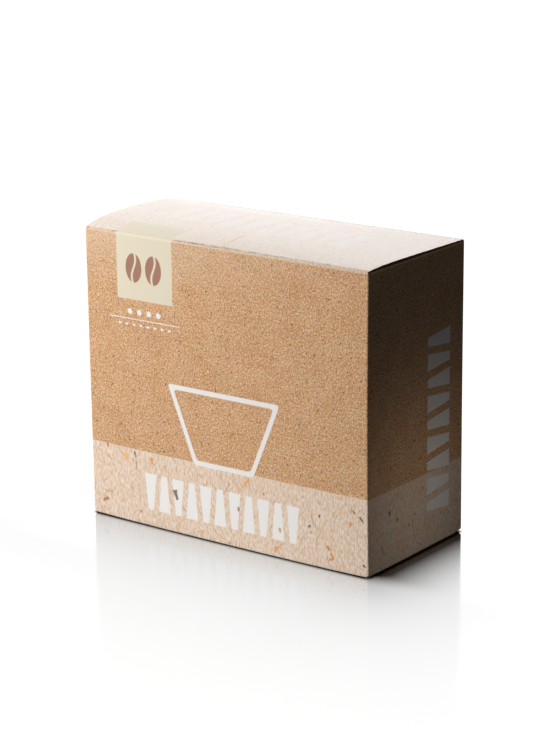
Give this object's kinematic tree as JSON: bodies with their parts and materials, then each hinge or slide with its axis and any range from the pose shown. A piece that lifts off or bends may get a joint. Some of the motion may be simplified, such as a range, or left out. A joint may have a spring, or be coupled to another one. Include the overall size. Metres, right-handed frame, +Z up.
{
  "type": "coffee filter carton",
  "caption": "Tuck-end folding carton of recycled board with a hinged, slightly bowed lid, holding a stack of flat trapezoid paper coffee filters.",
  "frame": {"origin": "middle of the bottom, on the surface that the carton stands on", "axes": "+X to the right along the broad front, +Y from front to back, +Z up"},
  "size_m": [0.16, 0.077, 0.144],
  "materials": {
    "kraft_board": "uncoated speckled recycled kraft board",
    "printed_board": "recycled board with a pale straw print",
    "filter_paper": "soft creped filter paper"
  },
  "bodies": {
    "carton": {"carton": "kraft_board", "filter_stack": "filter_paper"},
    "lid": {"lid": "printed_board"}
  },
  "joints": [
    {"name": "lid_fold", "type": "hinge", "parent": "carton", "child": "lid", "pos_m": [0, -0.03825, 0.13975], "axis": [1, 0, 0], "range_deg": [0, 180]}
  ]
}
